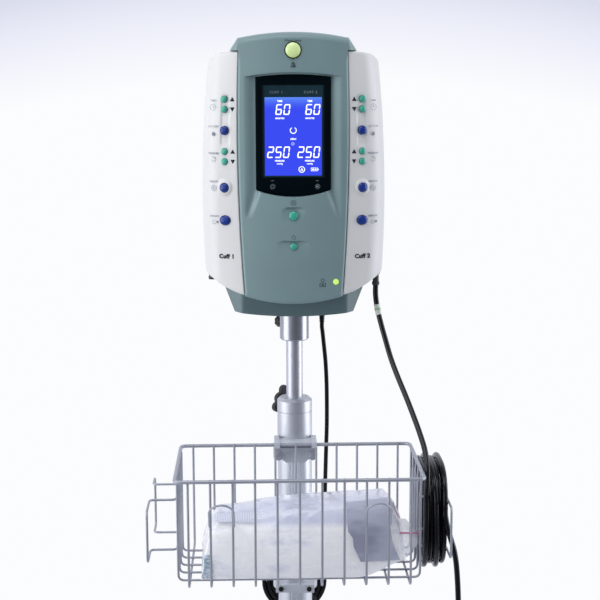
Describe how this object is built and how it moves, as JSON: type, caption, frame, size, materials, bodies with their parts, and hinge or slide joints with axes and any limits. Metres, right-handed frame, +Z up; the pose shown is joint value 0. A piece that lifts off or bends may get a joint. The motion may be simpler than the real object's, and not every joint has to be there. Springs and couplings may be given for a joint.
{
  "type": "pneumatic tourniquet system",
  "caption": "Rolling pole stand carrying a pressure console with a screen and side button panels, a wire basket, a coiled air hose, a mains cord and a bagged cuff.",
  "frame": {"origin": "on the floor under the axis of the pole", "axes": "+Z up along the pole, +X to the right seen from the front, +Y away from the screen"},
  "size_m": [0.6306, 0.6005, 1.395],
  "materials": {
    "housing": "satin moulded",
    "panel": "satin moulded",
    "frame": "gloss",
    "display": "lit LCD",
    "lamp": "translucent gloss",
    "board": "solder mask",
    "supply": "folded sheet",
    "pump": "satin",
    "manifold": "machined",
    "battery": "satin",
    "gland": "matte",
    "port": "dark plated",
    "socket": "brushed",
    "screw": "plated",
    "black_screw": "black oxide",
    "tube": "brushed",
    "green_button": "gloss",
    "blue_button": "gloss",
    "collar": "satin",
    "clamp": "satin",
    "wire": "plated",
    "base": "powder coat",
    "knob": "fine texture",
    "fork": "plated",
    "wheel": "grey tread",
    "hose": "satin",
    "connector": "satin",
    "cord": "matte",
    "plug": "satin",
    "bag": "clear film over a soft white cuff"
  },
  "bodies": {
    "stand": {"height_collar": "collar", "lower_tube": "tube", "basket_clamp": "clamp", "cord_clamp": "clamp", "clamp_screws": "black_screw", "basket": "wire", "hose_racks": "wire", "star_base": "base", "hose_run": "hose", "hose_coil": "hose", "hose_connector": "connector", "mains_cord": "cord", "mains_coil": "cord", "mains_plug": "plug"},
    "console": {"rear_housing": "housing", "front_cover": "housing", "left_panel": "panel", "right_panel": "panel", "screen_frame": "frame", "display": "display", "indicator_lamps": "lamp", "main_board": "board", "power_supply": "supply", "air_pumps": "pump", "valve_manifold": "manifold", "battery_pack": "battery", "cord_gland": "gland", "hose_ports": "port", "mount_socket": "socket", "housing_screws": "screw", "upper_tube": "tube"},
    "left_time_up": {"left_time_up": "green_button"},
    "left_time_down": {"left_time_down": "green_button"},
    "left_set": {"left_set": "blue_button"},
    "left_pressure_up": {"left_pressure_up": "green_button"},
    "left_pressure_down": {"left_pressure_down": "green_button"},
    "left_inflate": {"left_inflate": "blue_button"},
    "left_deflate": {"left_deflate": "blue_button"},
    "right_time_up": {"right_time_up": "green_button"},
    "right_time_down": {"right_time_down": "green_button"},
    "right_set": {"right_set": "blue_button"},
    "right_pressure_up": {"right_pressure_up": "green_button"},
    "right_pressure_down": {"right_pressure_down": "green_button"},
    "right_inflate": {"right_inflate": "blue_button"},
    "right_deflate": {"right_deflate": "blue_button"},
    "mode_button": {"mode_button": "green_button"},
    "power_button": {"power_button": "green_button"},
    "socket_knob": {"socket_knob": "knob"},
    "collar_knob": {"collar_knob": "knob"},
    "caster_fork_1": {"caster_fork_1": "fork"},
    "caster_wheel_1": {"caster_wheel_1": "wheel"},
    "caster_fork_2": {"caster_fork_2": "fork"},
    "caster_wheel_2": {"caster_wheel_2": "wheel"},
    "caster_fork_3": {"caster_fork_3": "fork"},
    "caster_wheel_3": {"caster_wheel_3": "wheel"},
    "caster_fork_4": {"caster_fork_4": "fork"},
    "caster_wheel_4": {"caster_wheel_4": "wheel"},
    "caster_fork_5": {"caster_fork_5": "fork"},
    "caster_wheel_5": {"caster_wheel_5": "wheel"},
    "bagged_cuff": {"bagged_cuff": "bag"}
  },
  "joints": [
    {"name": "height", "type": "slide", "parent": "stand", "child": "console", "axis": [0, 0, 1], "range_m": [0, 0.08]},
    {"name": "left_time_up_press", "type": "slide", "parent": "console", "child": "left_time_up", "axis": [0.3308, 0.9437, 0], "range_m": [0, 0.001], "stiffness_N_per_m": 800, "springref_m": -0.0005},
    {"name": "left_time_down_press", "type": "slide", "parent": "console", "child": "left_time_down", "axis": [0.3308, 0.9437, 0], "range_m": [0, 0.001], "stiffness_N_per_m": 800, "springref_m": -0.0005},
    {"name": "left_set_press", "type": "slide", "parent": "console", "child": "left_set", "axis": [0.3308, 0.9437, 0], "range_m": [0, 0.001], "stiffness_N_per_m": 800, "springref_m": -0.0005},
    {"name": "left_pressure_up_press", "type": "slide", "parent": "console", "child": "left_pressure_up", "axis": [0.3308, 0.9437, 0], "range_m": [0, 0.001], "stiffness_N_per_m": 800, "springref_m": -0.0005},
    {"name": "left_pressure_down_press", "type": "slide", "parent": "console", "child": "left_pressure_down", "axis": [0.3308, 0.9437, 0], "range_m": [0, 0.001], "stiffness_N_per_m": 800, "springref_m": -0.0005},
    {"name": "left_inflate_press", "type": "slide", "parent": "console", "child": "left_inflate", "axis": [0.3308, 0.9437, 0], "range_m": [0, 0.001], "stiffness_N_per_m": 800, "springref_m": -0.0005},
    {"name": "left_deflate_press", "type": "slide", "parent": "console", "child": "left_deflate", "axis": [0.3308, 0.9437, 0], "range_m": [0, 0.001], "stiffness_N_per_m": 800, "springref_m": -0.0005},
    {"name": "right_time_up_press", "type": "slide", "parent": "console", "child": "right_time_up", "axis": [-0.3308, 0.9437, 0], "range_m": [0, 0.001], "stiffness_N_per_m": 800, "springref_m": -0.0005},
    {"name": "right_time_down_press", "type": "slide", "parent": "console", "child": "right_time_down", "axis": [-0.3308, 0.9437, 0], "range_m": [0, 0.001], "stiffness_N_per_m": 800, "springref_m": -0.0005},
    {"name": "right_set_press", "type": "slide", "parent": "console", "child": "right_set", "axis": [-0.3308, 0.9437, 0], "range_m": [0, 0.001], "stiffness_N_per_m": 800, "springref_m": -0.0005},
    {"name": "right_pressure_up_press", "type": "slide", "parent": "console", "child": "right_pressure_up", "axis": [-0.3308, 0.9437, 0], "range_m": [0, 0.001], "stiffness_N_per_m": 800, "springref_m": -0.0005},
    {"name": "right_pressure_down_press", "type": "slide", "parent": "console", "child": "right_pressure_down", "axis": [-0.3308, 0.9437, 0], "range_m": [0, 0.001], "stiffness_N_per_m": 800, "springref_m": -0.0005},
    {"name": "right_inflate_press", "type": "slide", "parent": "console", "child": "right_inflate", "axis": [-0.3308, 0.9437, 0], "range_m": [0, 0.001], "stiffness_N_per_m": 800, "springref_m": -0.0005},
    {"name": "right_deflate_press", "type": "slide", "parent": "console", "child": "right_deflate", "axis": [-0.3308, 0.9437, 0], "range_m": [0, 0.001], "stiffness_N_per_m": 800, "springref_m": -0.0005},
    {"name": "mode_button_press", "type": "slide", "parent": "console", "child": "mode_button", "axis": [0, 1, 0], "range_m": [0, 0.001], "stiffness_N_per_m": 800, "springref_m": -0.0005},
    {"name": "power_button_press", "type": "slide", "parent": "console", "child": "power_button", "axis": [0, 1, 0], "range_m": [0, 0.001], "stiffness_N_per_m": 800, "springref_m": -0.0005},
    {"name": "socket_knob_turn", "type": "hinge", "parent": "console", "child": "socket_knob", "pos_m": [0, 0, 1.0145], "axis": [-0.6428, 0.766, 0], "continuous": true},
    {"name": "collar_knob_turn", "type": "hinge", "parent": "stand", "child": "collar_knob", "pos_m": [0, 0, 0.9055], "axis": [-0.5446, 0.8387, 0], "continuous": true},
    {"name": "caster_swivel_1", "type": "hinge", "parent": "stand", "child": "caster_fork_1", "pos_m": [0, -0.27, 0], "axis": [0, 0, 1], "continuous": true},
    {"name": "caster_spin_1", "type": "hinge", "parent": "caster_fork_1", "child": "caster_wheel_1", "pos_m": [0, -0.292, 0.0375], "axis": [1, 0, 0], "continuous": true},
    {"name": "caster_swivel_2", "type": "hinge", "parent": "stand", "child": "caster_fork_2", "pos_m": [0.25678, -0.08343, 0], "axis": [0, 0, 1], "continuous": true},
    {"name": "caster_spin_2", "type": "hinge", "parent": "caster_fork_2", "child": "caster_wheel_2", "pos_m": [0.27771, -0.09023, 0.0375], "axis": [0.309, 0.9511, 0], "continuous": true},
    {"name": "caster_swivel_3", "type": "hinge", "parent": "stand", "child": "caster_fork_3", "pos_m": [0.1587, 0.21843, 0], "axis": [0, 0, 1], "continuous": true},
    {"name": "caster_spin_3", "type": "hinge", "parent": "caster_fork_3", "child": "caster_wheel_3", "pos_m": [0.17163, 0.23623, 0.0375], "axis": [-0.809, 0.5878, 0], "continuous": true},
    {"name": "caster_swivel_4", "type": "hinge", "parent": "stand", "child": "caster_fork_4", "pos_m": [-0.1587, 0.21843, 0], "axis": [0, 0, 1], "continuous": true},
    {"name": "caster_spin_4", "type": "hinge", "parent": "caster_fork_4", "child": "caster_wheel_4", "pos_m": [-0.17163, 0.23623, 0.0375], "axis": [-0.809, -0.5878, 0], "continuous": true},
    {"name": "caster_swivel_5", "type": "hinge", "parent": "stand", "child": "caster_fork_5", "pos_m": [-0.25678, -0.08343, 0], "axis": [0, 0, 1], "continuous": true},
    {"name": "caster_spin_5", "type": "hinge", "parent": "caster_fork_5", "child": "caster_wheel_5", "pos_m": [-0.27771, -0.09023, 0.0375], "axis": [0.309, -0.9511, 0], "continuous": true},
    {"name": "bag_lift", "type": "slide", "parent": "stand", "child": "bagged_cuff", "axis": [0, 0, 1], "range_m": [0, 0.12]}
  ]
}
